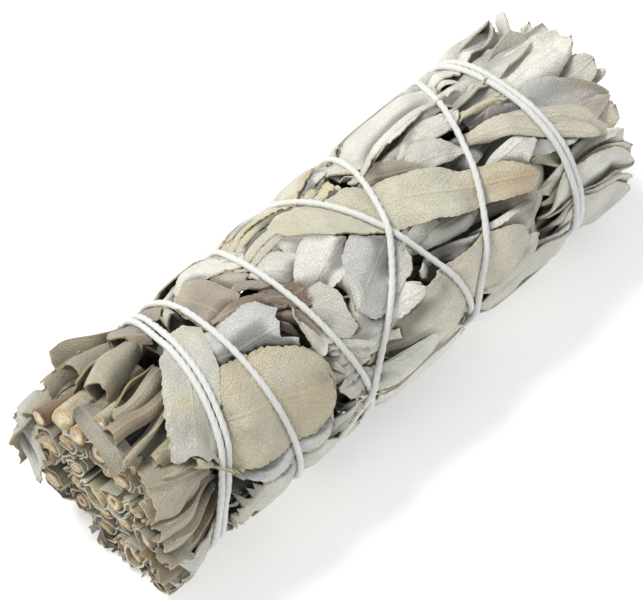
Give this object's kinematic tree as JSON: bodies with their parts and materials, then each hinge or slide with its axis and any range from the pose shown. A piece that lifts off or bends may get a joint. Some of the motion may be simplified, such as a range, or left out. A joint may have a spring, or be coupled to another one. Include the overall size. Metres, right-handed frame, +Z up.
{
  "type": "sage bunch",
  "caption": "Dried white sage sprigs laid side by side, leaf tips at one end and cut stems at the other, bound along their length with crossed turns of thin cotton string.",
  "frame": {"origin": "centre of the bunch's bounding box, at its lowest level, where it lies on a flat surface", "axes": "+X along the stems, from the cut ends towards the leaf tips; +Z up, away from the surface it lies on; +Y to the left when looking along +X"},
  "size_m": [0.1064, 0.0366, 0.0349],
  "materials": {
    "sage": "matte, felted dry leaf and stem",
    "string": "matte twisted cotton"
  },
  "bodies": {
    "root": {"sprig_01": "sage", "sprig_02": "sage", "sprig_03": "sage", "sprig_04": "sage", "sprig_05": "sage", "sprig_06": "sage", "sprig_07": "sage", "sprig_08": "sage", "sprig_09": "sage", "sprig_10": "sage", "sprig_11": "sage", "sprig_12": "sage", "sprig_13": "sage", "sprig_14": "sage", "sprig_15": "sage", "sprig_16": "sage", "sprig_17": "sage", "sprig_18": "sage", "sprig_19": "sage", "string": "string"}
  },
  "joints": []
}
